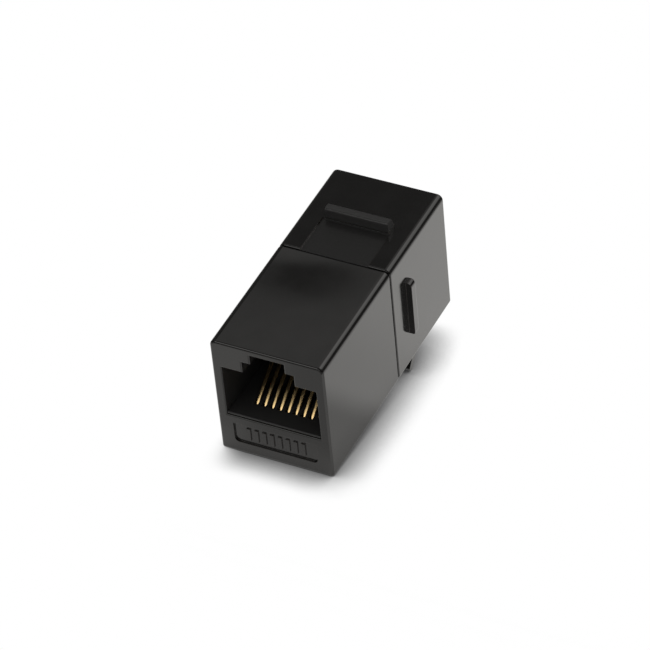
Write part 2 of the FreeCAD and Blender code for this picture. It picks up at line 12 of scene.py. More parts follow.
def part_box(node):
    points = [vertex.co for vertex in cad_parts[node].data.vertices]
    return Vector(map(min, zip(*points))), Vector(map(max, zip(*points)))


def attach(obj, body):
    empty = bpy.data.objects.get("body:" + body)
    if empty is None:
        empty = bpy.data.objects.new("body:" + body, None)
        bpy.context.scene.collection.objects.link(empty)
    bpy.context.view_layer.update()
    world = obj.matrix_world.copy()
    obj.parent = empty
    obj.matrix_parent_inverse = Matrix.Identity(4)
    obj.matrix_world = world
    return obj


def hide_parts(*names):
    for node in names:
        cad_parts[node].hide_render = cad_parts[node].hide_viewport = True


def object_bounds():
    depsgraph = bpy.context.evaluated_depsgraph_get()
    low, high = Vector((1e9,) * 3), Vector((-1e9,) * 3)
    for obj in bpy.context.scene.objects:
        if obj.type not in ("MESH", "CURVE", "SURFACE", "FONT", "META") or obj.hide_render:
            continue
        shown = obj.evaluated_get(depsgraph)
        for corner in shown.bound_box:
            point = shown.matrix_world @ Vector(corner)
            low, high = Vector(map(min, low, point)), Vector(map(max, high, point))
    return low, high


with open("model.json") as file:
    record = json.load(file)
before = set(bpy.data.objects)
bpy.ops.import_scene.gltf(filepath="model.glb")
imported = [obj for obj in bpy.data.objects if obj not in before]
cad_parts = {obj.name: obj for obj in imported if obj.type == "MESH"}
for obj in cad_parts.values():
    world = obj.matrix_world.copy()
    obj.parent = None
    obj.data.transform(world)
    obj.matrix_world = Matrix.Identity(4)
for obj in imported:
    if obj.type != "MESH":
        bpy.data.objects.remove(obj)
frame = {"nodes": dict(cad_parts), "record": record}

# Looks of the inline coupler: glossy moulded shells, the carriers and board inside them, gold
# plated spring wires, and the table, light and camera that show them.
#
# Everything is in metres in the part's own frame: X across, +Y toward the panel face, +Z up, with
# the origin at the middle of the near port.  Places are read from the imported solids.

CAD_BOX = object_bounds()
LOG = logging.getLogger("inline_coupler")

MM = 0.001
CONTACT_COUNT = 8

Value = float | bpy.types.NodeSocket
Colour = tuple[float, float, float]


class End(Enum):
    """The two ends of the coupler."""

    NEAR = "front"
    PANEL = "rear"


# ---------------------------------------------------------------- node trees


class Graph:
    """Adds nodes to a node tree, with inputs given by name as numbers or as other sockets."""

    def __init__(self, tree: bpy.types.NodeTree) -> None:
        """Start on an emptied tree.

        Args:
            tree: node tree of a material, a world or a group.
        """
        self.tree = tree
        tree.nodes.clear()

    def node(self, kind: str, inputs: dict | None = None, **settings: object) -> bpy.types.Node:
        """Add a node.

        Args:
            kind: type of the node without its ShaderNode prefix, or the full name of a group node.
            inputs: socket name or number to a value or to the socket that feeds it.
            settings: properties of the node, such as operation.

        Returns:
            The new node.
        """
        made = self.tree.nodes.new(kind if kind.startswith("NodeGroup") else f"ShaderNode{kind}")
        for name, setting in settings.items():
            setattr(made, name, setting)
        for name, given in (inputs or {}).items():
            self.feed(made.inputs[name], given)
        return made

    def feed(self, socket: bpy.types.NodeSocket, given: object) -> None:
        """Set a socket, or link it where another socket is given.

        Args:
            socket: the input.
            given: its value, or the output that feeds it.
        """
        if isinstance(given, bpy.types.NodeSocket):
            self.tree.links.new(given, socket)
        elif isinstance(given, tuple) and len(given) == 3 and socket.type == "RGBA":
            socket.default_value = (*given, 1.0)
        else:
            socket.default_value = given

    def maths(self, operation: str, *values: Value) -> bpy.types.NodeSocket:
        """Add a Math node.

        Args:
            operation: its operation, such as MULTIPLY.
            values: its inputs in order.

        Returns:
            Its result.
        """
        return self.node("Math", dict(enumerate(values)), operation=operation).outputs[0]

    def vector(self, operation: str, *values: object) -> bpy.types.Node:
        """Add a Vector Math node.

        Args:
            operation: its operation, such as DOT_PRODUCT.
            values: its inputs in order.

        Returns:
            The node, because its result is a vector or a value.
        """
        return self.node("VectorMath", dict(enumerate(values)), operation=operation)

    def ramp(self, value: Value, low: float, high: float,
             at_low: float = 0.0, at_high: float = 1.0) -> bpy.types.NodeSocket:
        """Smooth step of a value.

        Args:
            value: what is stepped.
            low: where the step starts.
            high: where it ends.
            at_low: result before the step.
            at_high: result after the step.

        Returns:
            The stepped value.
        """
        step = self.node("MapRange", {"Value": value, "From Min": low, "From Max": high,
                                      "To Min": at_low, "To Max": at_high},
                         interpolation_type="SMOOTHSTEP")
        return step.outputs["Result"]

    def fade(self, value: Value, none: float, full: float) -> bpy.types.NodeSocket:
        """Smooth step from nothing at one value to one at another, whichever is the larger.

        Args:
            value: what is stepped.
            none: where the result is none.
            full: where the result is one.

        Returns:
            The stepped value.
        """
        if none < full:
            return self.ramp(value, none, full)
        return self.ramp(value, full, none, 1.0, 0.0)

    def blend(self, share: Value, first: object, second: object) -> bpy.types.NodeSocket:
        """Mix of two colours.

        Args:
            share: how much of the second colour shows.
            first: colour where the share is none.
            second: colour where the share is one.

        Returns:
            The mixed colour.
        """
        mixed = self.node("Mix", data_type="RGBA")
        self.feed(mixed.inputs["Factor"], share)
        for name, given in (("A", first), ("B", second)):
            socket = next(s for s in mixed.inputs if s.name == name and s.type == "RGBA")
            self.feed(socket, given)
        return next(s for s in mixed.outputs if s.type == "RGBA")

    def place(self) -> bpy.types.NodeSocket:
        """Object coordinates, which are metres in the part's frame."""
        return self.node("TexCoord").outputs["Object"]

    def axes(self, vector: bpy.types.NodeSocket) -> list[bpy.types.NodeSocket]:
        """Take a vector apart.

        Args:
            vector: the socket that is taken apart.

        Returns:
            Its three parts.
        """
        return list(self.node("SeparateXYZ", {0: vector}).outputs)


class NodeKit:
    """Effects that more than one finish uses, each a node group that is built once."""

    @staticmethod
    def group(name: str, inputs: dict[str, float], outputs: dict[str, str],
              ) -> tuple[Graph, bpy.types.NodeOutputs, bpy.types.NodeInputs]:
        """Start a group with named sockets.

        Args:
            name: name of the group.
            inputs: each input's name and its value when nothing feeds it.
            outputs: each output's name and its kind, Float, Color or Vector.

        Returns:
            The graph, what its inputs give, and what its outputs take.
        """
        tree = bpy.data.node_groups.new(name, "ShaderNodeTree")
        for label, normal in inputs.items():
            socket = tree.interface.new_socket(label, in_out="INPUT", socket_type="NodeSocketFloat")
            socket.default_value = normal
        for label, kind in outputs.items():
            tree.interface.new_socket(label, in_out="OUTPUT", socket_type=f"NodeSocket{kind}")
        graph = Graph(tree)
        return graph, graph.node("NodeGroupInput").outputs, graph.node("NodeGroupOutput").inputs

    @classmethod
    def grain(cls) -> bpy.types.NodeTree:
        """Fine texture of a mould's surface: height is fractal noise, Depth metres deep."""
        if "mould_grain" in bpy.data.node_groups:
            return bpy.data.node_groups["mould_grain"]
        graph, given, out = cls.group("mould_grain", {"Scale": 9000.0, "Depth": 1e-6},
                                      {"Height": "Float", "Mottle": "Float"})
        noise = graph.node("TexNoise", {"Vector": graph.place(), "Scale": given["Scale"],
                                        "Detail": 3.0, "Roughness": 0.55})
        height = graph.maths("MULTIPLY", noise.outputs["Fac"], given["Depth"])
        graph.feed(out["Height"], height)
        cloud = graph.node("TexNoise", {"Vector": graph.place(), "Scale": 320.0, "Detail": 4.0})
        graph.feed(out["Mottle"], graph.ramp(cloud.outputs["Fac"], low=0.3, high=0.7))
        return graph.tree

    @classmethod
    def worn_edge(cls) -> bpy.types.NodeTree:
        """Softened edges: a normal rounded over Width, and a mask that is one along an edge, where
        materials put a painted edge highlight.
        """
        if "worn_edge" in bpy.data.node_groups:
            return bpy.data.node_groups["worn_edge"]
        graph, given, out = cls.group("worn_edge", {"Width": 6e-5, "Gain": 6.0},
                                      {"Normal": "Vector", "Mask": "Float"})
        rounded = graph.node("Bevel", {"Radius": given["Width"]}, samples=6)
        sharp = graph.node("NewGeometry").outputs["Normal"]
        facing = graph.vector("DOT_PRODUCT", rounded.outputs[0], sharp).outputs["Value"]
        turned = graph.maths("SUBTRACT", 1.0, facing)
        scaled = graph.maths("MULTIPLY", turned, given["Gain"])
        graph.feed(out["Normal"], rounded.outputs[0])
        graph.feed(out["Mask"], graph.maths("MINIMUM", scaled, 1.0))
        return graph.tree

    @classmethod
    def port_inside(cls) -> bpy.types.NodeTree:
        """Mask of the rooms behind both mouths, where the mould's cores aren't polished and where a
        paler base colour is put in as painted light.

        It is one where a point lies within Half Width of the middle, under Ceiling, over Floor and
        more than Depth behind both end faces, which are Length apart.  All are in metres.
        """
        if "port_inside" in bpy.data.node_groups:
            return bpy.data.node_groups["port_inside"]
        graph, given, out = cls.group("port_inside", {"Half Width": 6e-3, "Floor": -4e-3,
                                                      "Ceiling": 6e-3, "Length": 33e-3,
                                                      "Depth": 2e-4}, {"Mask": "Float"})
        across, along, up = graph.axes(graph.place())
        beside = graph.maths("SUBTRACT", given["Half Width"], graph.maths("ABSOLUTE", across))
        below = graph.maths("SUBTRACT", given["Ceiling"], up)
        above = graph.maths("SUBTRACT", up, given["Floor"])
        to_panel = graph.maths("SUBTRACT", given["Length"], along)
        behind = graph.maths("SUBTRACT", graph.maths("MINIMUM", along, to_panel), given["Depth"])
        inner = beside
        for room in (below, above, behind):
            inner = graph.maths("MINIMUM", inner, room)
        graph.feed(out["Mask"], graph.ramp(inner, low=-1e-4, high=0.0))
        return graph.tree

    @classmethod
    def box_patch(cls) -> bpy.types.NodeTree:
        """Mask of a box that reaches as far left as right, and softens over Blur inside its sides.

        It is the least distance to any side of the box over Blur, kept between none and one.
        """
        if "box_patch" in bpy.data.node_groups:
            return bpy.data.node_groups["box_patch"]
        graph, given, out = cls.group("box_patch", {"Half Width": 4e-3, "From Y": 0.0, "To Y": 1e-2,
                                                    "From Z": 0.0, "To Z": 1e-2, "Blur": 1e-4},
                                      {"Mask": "Float"})
        across, along, up = graph.axes(graph.place())
        inner = graph.maths("SUBTRACT", given["Half Width"], graph.maths("ABSOLUTE", across))
        for axis, place in (("Y", along), ("Z", up)):
            past_low = graph.maths("SUBTRACT", place, given[f"From {axis}"])
            before_high = graph.maths("SUBTRACT", given[f"To {axis}"], place)
            inner = graph.maths("MINIMUM", inner, graph.maths("MINIMUM", past_low, before_high))
        share = graph.maths("MAXIMUM", graph.maths("DIVIDE", inner, given["Blur"]), 0.0)
        graph.feed(out["Mask"], graph.maths("MINIMUM", share, 1.0))
        return graph.tree

    @classmethod
    def hairlines(cls) -> bpy.types.NodeTree:
        """Fine lines that run along Y, as drawing through a die leaves on a wire."""
        if "hairlines" in bpy.data.node_groups:
            return bpy.data.node_groups["hairlines"]
        graph, given, out = cls.group("hairlines", {"Across": 26000.0, "Along": 900.0,
                                                    "Depth": 4e-7},
                                      {"Height": "Float", "Mask": "Float"})
        stretch = graph.node("CombineXYZ", {0: given["Across"], 1: given["Along"],
                                            2: given["Across"]})
        lines = graph.vector("MULTIPLY", graph.place(), stretch.outputs[0]).outputs["Vector"]
        noise = graph.node("TexNoise", {"Vector": lines, "Scale": 1.0, "Detail": 2.0})
        graph.feed(out["Height"], graph.maths("MULTIPLY", noise.outputs["Fac"], given["Depth"]))
        graph.feed(out["Mask"], noise.outputs["Fac"])
        return graph.tree


def new_material(name: str) -> tuple[Graph, bpy.types.Node]:
    """Material with a Principled shader.

    Args:
        name: name of the material.

    Returns:
        Its graph and its shader.
    """
    material = bpy.data.materials.new(name)
    material.use_nodes = True
    graph = Graph(material.node_tree)
    shader = graph.node("BsdfPrincipled")
    graph.node("OutputMaterial", {"Surface": shader.outputs[0]})
    return graph, shader


# ---------------------------------------------------------------- finishes


@dataclass(frozen=True)
class EtchedPatch:
    """Box in which the mould is spark-eroded, so that the plastic comes out matt and pebbled."""

    half_width: float
    along: tuple[float, float]
    up: tuple[float, float]
    colour: Colour
    roughness: float
    depth: float
    blur: float = 0.05 * MM
    pebbles: float = 6500.0

    def mask(self, graph: Graph) -> bpy.types.NodeSocket:
        """Make the box's mask.

        Args:
            graph: graph of the material.

        Returns:
            A mask that is one inside the box.
        """
        patch = graph.node("Group", node_tree=NodeKit.box_patch())
        for name, given in (("Half Width", self.half_width), ("Blur", self.blur),
                            ("From Y", self.along[0]), ("To Y", self.along[1]),
                            ("From Z", self.up[0]), ("To Z", self.up[1])):
            graph.feed(patch.inputs[name], given)
        return patch.outputs["Mask"]


@dataclass(frozen=True)
class MouldedPlastic:
    """Self-coloured thermoplastic straight from a polished mould."""

    name: str
    colour: Colour
    # Colour along the edges: a lighter, painted edge highlight.
    edge_highlight_colour: Colour
    roughness: float = 0.12
    rough_spread: float = 0.05
    ior: float = 1.5
    grain_depth: float = 1.2e-6
    grain_scale: float = 9000.0
    edge_width: float = 0.06 * MM
    seam_at: float = 0.0
    draft_deg: float = 0.0
    sink_depth: float = 0.0
    sink_at: tuple[float, float] = (-3.0 * MM, -1.6 * MM)
    sink_reach: tuple[float, float] = (5.5 * MM, 4.2 * MM)
    core_roughness: float = 0.45
    # How many times paler the colour is inside the ports: painted light that lifts the dark rooms.
    core_painted_lift: float = 0.0
    etched: tuple[EtchedPatch, ...] = ()

    def build(self) -> bpy.types.Material:
        """Make the material."""
        graph, shader = new_material(self.name)
        grain = graph.node("Group", node_tree=NodeKit.grain())
        graph.feed(grain.inputs["Scale"], self.grain_scale)
        graph.feed(grain.inputs["Depth"], self.grain_depth)
        edge = graph.node("Group", node_tree=NodeKit.worn_edge())
        graph.feed(edge.inputs["Width"], self.edge_width)
        low = self.roughness - self.rough_spread / 2
        mottle = graph.maths("MULTIPLY_ADD", grain.outputs["Mottle"], self.rough_spread, low)
        height = grain.outputs["Height"]
        if self.draft_deg:
            height = graph.maths("ADD", height, self.flow(graph))
        masks = [patch.mask(graph) for patch in self.etched]
        for patch, mask in zip(self.etched, masks):
            pebble = graph.node("TexNoise", {"Vector": graph.place(), "Scale": patch.pebbles,
                                             "Detail": 2.0}).outputs["Fac"]
            raised = graph.maths("MULTIPLY", graph.maths("MULTIPLY", pebble, patch.depth), mask)
            height = graph.maths("ADD", height, raised)
        bump = graph.node("Bump", {"Height": height, "Strength": 1.0, "Distance": 1.0,
                                   "Normal": edge.outputs["Normal"]})
        # Along every edge the colour turns lighter and browner: a painted edge highlight.
        colour = graph.blend(edge.outputs["Mask"], self.colour, self.edge_highlight_colour)
        # Inside the ports the base colour is raised as painted light in the dark rooms; the
        # rougher, unpolished cores are real.
        if self.core_painted_lift:
            inside = self.inside(graph)
            painted_lift_colour = tuple(part * self.core_painted_lift for part in self.colour)
            colour = graph.blend(inside, colour, painted_lift_colour)
            rougher = graph.maths("SUBTRACT", self.core_roughness, mottle)
            mottle = graph.maths("MULTIPLY_ADD", inside, rougher, mottle)
        for patch, mask in zip(self.etched, masks):
            colour = graph.blend(mask, colour, patch.colour)
            rougher = graph.maths("SUBTRACT", patch.roughness, mottle)
            mottle = graph.maths("MULTIPLY_ADD", mask, rougher, mottle)
        for socket, given in (("Base Color", colour), ("Roughness", mottle), ("IOR", self.ior),
                              ("Normal", bump.outputs[0])):
            graph.feed(shader.inputs[socket], given)
        return bpy.data.materials[self.name]

    @staticmethod
    def inside(graph: Graph) -> bpy.types.NodeSocket:
        """Make the mask of the ports' rooms, fitted to the record's openings.

        Args:
            graph: graph of the material.

        Returns:
            A mask that is one inside the rooms.
        """
        openings = {item["name"]: item["box_m"] for item in frame["record"]["physics"]["openings"]}
        mouth, slot = openings["near_port_mouth"], openings["near_tab_slot"]
        mask = graph.node("Group", node_tree=NodeKit.port_inside())
        margin = 0.2 * MM
        lip = 0.5 * MM
        for name, given in (("Half Width", mouth[1][0] + margin), ("Floor", mouth[0][2] - lip),
                            ("Ceiling", slot[1][2] + margin), ("Length", CAD_BOX[1].y),
                            ("Depth", margin)):
            graph.feed(mask.inputs[name], given)
        return mask.outputs["Mask"]

    def flow(self, graph: Graph) -> bpy.types.NodeSocket:
        """Draft away from the seam, and the sink that shrinking leaves beside it.

        The draft's height falls evenly on both sides of the seam.  The sink is a bell-shaped dip a
        little before it: its depth times e to the minus of the squared distances from its middle
        over the squared reaches.

        Args:
            graph: graph of the material.

        Returns:
            The height in metres.
        """
        across, along, _ = graph.axes(graph.place())
        from_seam = graph.maths("SUBTRACT", along, self.seam_at)
        away = graph.maths("ABSOLUTE", from_seam)
        draft = graph.maths("MULTIPLY", away, -math.tan(math.radians(self.draft_deg)))
        total = None
        for place, middle, reach in zip((across, from_seam), self.sink_at, self.sink_reach):
            apart = graph.maths("SUBTRACT", place, middle)
            part = graph.maths("POWER", graph.maths("DIVIDE", apart, reach), 2.0)
            total = part if total is None else graph.maths("ADD", total, part)
        bell = graph.maths("EXPONENT", graph.maths("MULTIPLY", total, -1.0))
        return graph.maths("MULTIPLY_ADD", bell, -self.sink_depth, draft)


@dataclass(frozen=True)
class PlatedWire:
    """Spring wire, gold over nickel where a plug touches it and tin on its tail."""

    name: str = "gold_plated_spring"
    gold: Colour = (1.0, 0.72, 0.35)
    tin: Colour = (0.68, 0.67, 0.64)
    roughness: float = 0.17
    rough_spread: float = 0.12

    def build(self) -> bpy.types.Material:
        """Make the material. The wire's plating attribute is one on gold and none on tin."""
        graph, shader = new_material(self.name)
        lines = graph.node("Group", node_tree=NodeKit.hairlines())
        plating = graph.node("Attribute", attribute_name="plating").outputs["Fac"]
        colour = graph.blend(plating, self.tin, self.gold)
        low = self.roughness - self.rough_spread / 2
        rough = graph.maths("MULTIPLY_ADD", lines.outputs["Mask"], self.rough_spread, low)
        bump = graph.node("Bump", {"Height": lines.outputs["Height"], "Strength": 1.0,
                                   "Distance": 1.0})
        for socket, given in (("Base Color", colour), ("Roughness", rough), ("Metallic", 1.0),
                              ("Normal", bump.outputs[0])):
            graph.feed(shader.inputs[socket], given)
        return bpy.data.materials[self.name]


@dataclass(frozen=True)
class BoardLaminate:
    """Glass-fibre laminate with a dark mask, and bare rings round its plated holes."""

    pitch: float
    first_hole: float
    rows: tuple[float, float]
    name: str = "board_laminate"
    mask: Colour = (0.004, 0.028, 0.014)
    ring: Colour = (0.72, 0.6, 0.38)
    ring_radius: float = 0.62 * MM
    ring_core: float = 0.94
    weave_depth: float = 2e-6
    roughness: float = 0.35

    def build(self) -> bpy.types.Material:
        """Make the material. A ring is where the nearest hole is nearer than the ring's radius."""
        graph, shader = new_material(self.name)
        across, _, up = graph.axes(graph.place())
        step = graph.maths("DIVIDE", graph.maths("SUBTRACT", across, self.first_hole), self.pitch)
        off = graph.maths("SUBTRACT", step, graph.maths("ROUND", step))
        dx = graph.maths("MULTIPLY", off, self.pitch)
        near = None
        for row in self.rows:
            dz = graph.maths("SUBTRACT", up, row)
            reach = graph.maths("SQRT", graph.maths("ADD", graph.maths("MULTIPLY", dx, dx),
                                                    graph.maths("MULTIPLY", dz, dz)))
            near = reach if near is None else graph.maths("MINIMUM", near, reach)
        bare = graph.fade(near, self.ring_radius, self.ring_radius * self.ring_core)
        weave = graph.node("TexWave", {"Vector": graph.place(), "Scale": 1400.0, "Distortion": 0.6,
                                       "Detail": 1.0})
        height = graph.maths("MULTIPLY", weave.outputs["Fac"], self.weave_depth)
        bump = graph.node("Bump", {"Height": height, "Strength": 1.0, "Distance": 1.0})
        colour = graph.blend(bare, self.mask, self.ring)
        for socket, given in (("Base Color", colour), ("Metallic", bare),
                              ("Roughness", self.roughness), ("Normal", bump.outputs[0])):
            graph.feed(shader.inputs[socket], given)
        return bpy.data.materials[self.name]


# ---------------------------------------------------------------- surfaces


def grid_mesh(name: str, grid: np.ndarray, wrap: bool, caps: bool) -> bpy.types.Mesh:
    """Mesh of a grid of points.

    The point (i, j) joins (i + 1, j) and (i, j + 1) in one quad.

    Args:
        name: name of the mesh.
        grid: points, rows by columns by three.
        wrap: whether the last column joins the first.
        caps: whether the first and last rows are closed with one face each.

    Returns:
        The mesh.
    """
    rows, columns, _ = grid.shape
    index = np.arange(rows * columns).reshape(rows, columns)
    after = np.roll(index, -1, axis=1)
    if not wrap:
        index, after = index[:, :-1], after[:, :-1]
    quads = np.stack([index[:-1], index[1:], after[1:], after[:-1]], axis=-1).reshape(-1, 4)
    faces = quads.tolist()
    if caps:
        faces += [index[0].tolist(), index[-1][::-1].tolist()]
    mesh = bpy.data.meshes.new(name)
    mesh.from_pydata(grid.reshape(-1, 3).tolist(), [], faces)
    mesh.validate()
    mesh.polygons.foreach_set("use_smooth", np.ones(len(mesh.polygons), bool))
    mesh.update()
    return mesh


def add_object(name: str, mesh: bpy.types.Mesh, material: bpy.types.Material) -> bpy.types.Object:
    """Add an object of a mesh at the origin.

    Args:
        name: name of the object.
        mesh: its mesh.
        material: its finish.

    Returns:
        The object.
    """
    piece = bpy.data.objects.new(name, mesh)
    mesh.materials.append(material)
    bpy.context.scene.collection.objects.link(piece)
    return piece


def dress(node: str, material: bpy.types.Material) -> None:
    """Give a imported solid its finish.

    Args:
        node: name of the solid.
        material: its finish.
    """
    slots = frame["nodes"][node].data.materials
    slots.clear()
    slots.append(material)


@dataclass(frozen=True)
class Route:
    """Straight runs in a plane that are joined by tangent arcs."""

    corners: tuple[tuple[float, float], ...]
    radii: tuple[float, ...]
    arc_steps: int = 10

    def points(self) -> np.ndarray:
        """Points along the route: each inner corner gives way to its arc.

        An arc starts radius times tan(turn / 2) before its corner, and its points are that
        tangent point turned about the arc's centre.

        Returns:
            The points, one per row.
        """
        corner = np.array(self.corners, float)
        out = [corner[:1]]
        for number, radius in enumerate(self.radii, 1):
            before = corner[number] - corner[number - 1]
            after = corner[number + 1] - corner[number]
            before /= np.linalg.norm(before)
            after /= np.linalg.norm(after)
            turn = math.atan2(before[0] * after[1] - before[1] * after[0], before @ after)
            start = corner[number] - before * radius * math.tan(abs(turn) / 2)
            side = math.copysign(1.0, turn)
            centre = start + side * radius * np.array([-before[1], before[0]])
            angle = np.linspace(0.0, turn, self.arc_steps)[:, None]
            arm = start - centre
            across = np.array([-arm[1], arm[0]])
            out.append(centre + np.cos(angle) * arm + np.sin(angle) * across)
        out.append(corner[-1:])
        return np.concatenate(out)


# ---------------------------------------------------------------- sub-assemblies


@dataclass
class SpringWires:
    """Sixteen formed wires, eight in each port, swept with a rounded section."""

    width: float = 0.46 * MM
    thickness: float = 0.30 * MM
    squareness: float = 5.0
    front_bend: float = 0.5 * MM
    rise_deg: float = 37.0
    ease_deg: float = 29.0
    ease_setback: float = 5.0 * MM
    ease_radius: float = 6.0 * MM
    jog_setback: float = 2.9 * MM
    jog_deg: float = 52.0
    jog_radius: float = 0.6 * MM
    around: int = 28
    tip_steps: int = 6
    tip_least: float = 0.05
    gold_reach: float = 2.0 * MM
    plating_blend: float = 0.3 * MM
    finish: PlatedWire = field(default_factory=PlatedWire)

    def build(self) -> None:
        """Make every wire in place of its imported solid."""
        material = self.finish.build()
        for end in End:
            for number in range(1, CONTACT_COUNT + 1):
                node = f"contact_{end.value}_{number}"
                piece = add_object(f"{node}_wire", self.wire(node, end), material)
                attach(piece, "root")
                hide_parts(node)
                LOG.info("piece %s", piece.name)

    def route(self, node: str, end: End) -> Route:
        """Work out a wire's middle line, as distance from its own port's face and height.

        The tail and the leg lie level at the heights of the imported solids, and the front bend is
        tangent to the front of the solid's box.

        Args:
            node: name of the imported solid.
            end: the port that it belongs to.

        Returns:
            The route from the tip to the tail.
        """
        low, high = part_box(node)
        half = self.thickness / 2
        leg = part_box(f"contact_{end.value}_1")[0].z + half
        tail = low.z + half
        length = CAD_BOX[1].y
        front, back = (low.y, high.y) if end is End.NEAR else (length - high.y, length - low.y)
        rise, ease = math.tan(math.radians(self.rise_deg)), math.tan(math.radians(self.ease_deg))
        bend = front + half + self.front_bend
        nose = bend - self.front_bend * math.tan(math.radians(90 - self.rise_deg / 2))
        ease_up = leg + (self.ease_setback - nose) * rise
        tip_up = high.z - half * math.cos(math.radians(self.ease_deg))
        tip = self.ease_setback + (tip_up - ease_up) / ease
        corners = [(tip, tip_up), (self.ease_setback, ease_up), (nose, leg)]
        radii = [self.ease_radius, self.front_bend]
        if leg - tail > half:
            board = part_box("circuit_board")[0].y
            jog = board - self.jog_setback
            run = (leg - tail) / math.tan(math.radians(self.jog_deg))
            corners += [(jog, leg), (jog + run, tail)]
            radii += [self.jog_radius, self.jog_radius]
        corners.append((back, tail))
        return Route(tuple(corners), tuple(radii))

    def section(self) -> np.ndarray:
        """Rounded rectangle: a superellipse, whose corners tighten as its power grows."""
        angle = np.linspace(0.0, math.tau, self.around, endpoint=False)
        power = 2.0 / self.squareness
        cosine, sine = np.cos(angle), np.sin(angle)
        across = np.sign(cosine) * np.abs(cosine) ** power * self.width / 2
        up = np.sign(sine) * np.abs(sine) ** power * self.thickness / 2
        return np.stack([across, up], axis=-1)

    def wire(self, node: str, end: End) -> bpy.types.Mesh:
        """Make one wire: its section carried along its route, with a rounded tip.

        Near the tip the section shrinks as a quarter circle does, over half a thickness.

        Args:
            node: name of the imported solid.
            end: the port that it belongs to.

        Returns:
            The wire's mesh, with its plating attribute.
        """
        line = self.route(node, end).points()
        nose = self.thickness / 2
        first = line[1] - line[0]
        first /= np.linalg.norm(first)
        steps = nose * np.linspace(0.0, 1.0, self.tip_steps)[:, None] ** 2
        line = np.concatenate([line[0] + first * steps, line[1:]])
        gap = np.linalg.norm(np.diff(line, axis=0), axis=1)
        travelled = np.concatenate([[0.0], np.cumsum(gap)])
        toward = np.gradient(line, travelled, axis=0)
        toward /= np.linalg.norm(toward, axis=1)[:, None]
        inward = np.clip(1.0 - travelled / nose, 0.0, 1.0)
        shrink = np.sqrt(np.clip(1.0 - inward ** 2, self.tip_least, 1.0))
        section = self.section()
        up = np.stack([-toward[:, 1], toward[:, 0]], axis=-1)
        middle = sum(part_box(node), Vector()).x / 2
        across = middle + section[None, :, 0] * (0.5 + 0.5 * shrink[:, None])
        offset = section[None, :, 1, None] * shrink[:, None, None] * up[:, None, :]
        plane = line[:, None, :] + offset
        wide = np.broadcast_to(across, plane.shape[:2])
        grid = np.stack([wide, plane[..., 0], plane[..., 1]], axis=-1)
        if end is End.PANEL:
            grid[..., 0] = 2 * middle - grid[..., 0]
            grid[..., 1] = CAD_BOX[1].y - grid[..., 1]
        mesh = grid_mesh(f"{node}_wire", grid, wrap=True, caps=True)
        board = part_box("circuit_board")[0].y
        before_tin = board - self.gold_reach - line[:, 0]
        gold = np.clip(before_tin / self.plating_blend, 0.0, 1.0)
        past_bend = np.arange(len(line)) > np.argmin(line[:, 0])
        plating = np.where(past_bend, gold, 1.0)
        layer = mesh.attributes.new("plating", "FLOAT", "POINT")
        layer.data.foreach_set("value", np.repeat(plating, self.around).astype(np.float32))
        return mesh


@dataclass
class Housing:
    """The two moulded shells."""

    colour: Colour = (0.0052, 0.0049, 0.0046)
    # Lighter brown for the edges: a painted edge highlight.
    edge_highlight_colour: Colour = (0.020, 0.0135, 0.0100)
    etched_colour: Colour = (0.0135, 0.0131, 0.0127)
    recess_colour: Colour = (0.0068, 0.0065, 0.0062)
    ior: float = 1.6
    # Inside the ports the colour is raised this many times: painted light.
    core_painted_lift: float = 2.4
    seam_gap: float = 0.2 * MM
    front_draft_deg: float = 1.5
    rear_draft_deg: float = 1.2
    sink_depth: float = 0.19 * MM
    catch_half_width: float = 4.3 * MM
    catch_roughness: float = 0.36
    catch_pebble: float = 32e-6
    catch_reach: float = 5.0 * MM
    top_skin: float = 0.04 * MM
    recess_half_width: float = 4.4 * MM
    recess_depth: float = 0.18 * MM
    recess_slack: float = 0.08 * MM
    recess_blur: float = 0.02 * MM
    recess_roughness: float = 0.24
    recess_pebble: float = 2e-6

    def build(self) -> None:
        """Give both shells their finish."""
        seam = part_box("front_shell")[1].y + self.seam_gap / 2
        front = MouldedPlastic("front_shell_plastic", self.colour, self.edge_highlight_colour, ior=self.ior,
                               seam_at=seam, draft_deg=self.front_draft_deg,
                               sink_depth=self.sink_depth, core_painted_lift=self.core_painted_lift)
        rear = MouldedPlastic("rear_shell_plastic", self.colour, self.edge_highlight_colour, ior=self.ior,
                              seam_at=seam, draft_deg=self.rear_draft_deg,
                              core_painted_lift=self.core_painted_lift, etched=self.etched(seam))
        for node, finish in (("front_shell", front), ("rear_shell", rear)):
            dress(node, finish.build())
            LOG.info("piece %s", node)

    def etched(self, seam: float) -> tuple[EtchedPatch, ...]:
        """Place the matt patches of the rear shell.

        Args:
            seam: where the shells meet along Y.

        Returns:
            The catch that stands on the top, and the shallow recess before it.
        """
        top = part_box("front_shell")[1].z
        panel = CAD_BOX[1].y
        catch = EtchedPatch(self.catch_half_width, (seam, panel),
                            (top + self.top_skin, top + self.catch_reach), self.etched_colour,
                            self.catch_roughness, self.catch_pebble)
        floor = top - self.recess_depth
        recess = EtchedPatch(self.recess_half_width, (seam, panel),
                             (floor - self.recess_slack, floor + self.recess_slack),
                             self.recess_colour, self.recess_roughness, self.recess_pebble,
                             blur=self.recess_blur)
        return catch, recess


